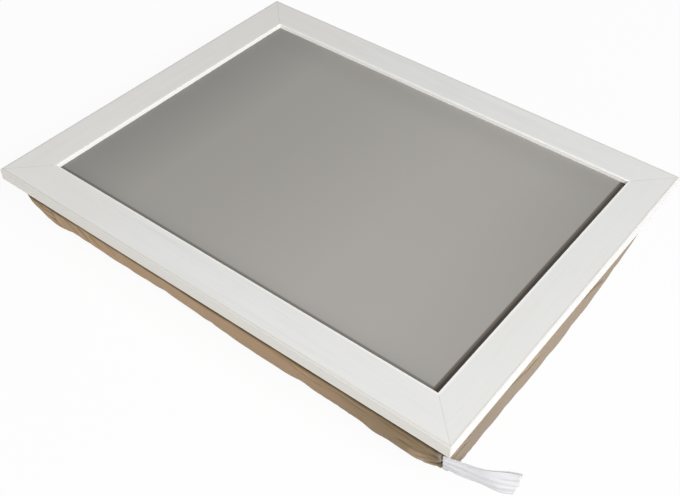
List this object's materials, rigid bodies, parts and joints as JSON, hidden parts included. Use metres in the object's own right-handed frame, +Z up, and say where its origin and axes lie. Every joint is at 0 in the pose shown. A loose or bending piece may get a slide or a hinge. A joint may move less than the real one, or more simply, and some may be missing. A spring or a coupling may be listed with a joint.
{
  "type": "cushioned lap tray",
  "caption": "Framed lap tray with a recessed glossy panel, held by hook-and-loop pads on a beanbag cushion with a zipped cloth cover.",
  "frame": {"origin": "on the floor under the middle of the tray, where the cushion rests", "axes": "+X along the long side to the label's end, +Y away from the front, +Z up"},
  "size_m": [0.4717, 0.33, 0.063],
  "materials": {
    "whitewashed_wood": "whitewashed, satin",
    "panel_gloss": "glossy",
    "hardboard": "raw",
    "fixing_steel": "plain",
    "hook_and_loop": "matt",
    "cover_cloth": "brushed cotton",
    "liner_cloth": "plain",
    "beads": "loose beads",
    "zip_cloth": "woven tape",
    "zip_plastic": "moulded",
    "zip_metal": "plated",
    "satin_ribbon": "satin"
  },
  "bodies": {
    "cushion": {"loop_pads": "hook_and_loop", "cover_top": "cover_cloth", "boxing_front": "cover_cloth", "boxing_right": "cover_cloth", "boxing_back": "cover_cloth", "boxing_left": "cover_cloth", "cover_base": "cover_cloth", "liner_top": "liner_cloth", "liner_bag": "liner_cloth", "bead_fill": "beads", "zip_tape": "zip_cloth", "zip_teeth": "zip_plastic", "zip_stops": "zip_metal", "care_label": "satin_ribbon"},
    "tray": {"rail_front": "whitewashed_wood", "rail_back": "whitewashed_wood", "rail_left": "whitewashed_wood", "rail_right": "whitewashed_wood", "tray_panel": "panel_gloss", "backing_board": "hardboard", "corner_nails": "fixing_steel", "panel_points": "fixing_steel", "hook_pads": "hook_and_loop"},
    "slider": {"zip_slider": "zip_metal"},
    "pull": {"zip_pull": "zip_metal"}
  },
  "joints": [
    {"name": "tray_lift", "type": "slide", "parent": "cushion", "child": "tray", "axis": [0, 0, 1], "range_m": [0, 0.06]},
    {"name": "zip_run", "type": "slide", "parent": "cushion", "child": "slider", "axis": [-1, 0, 0], "range_m": [0, 0.28]},
    {"name": "pull_flip", "type": "hinge", "parent": "slider", "child": "pull", "pos_m": [0.14325, 0.15213, 0.043], "axis": [0, 0, -1], "range_deg": [0, 180]}
  ]
}
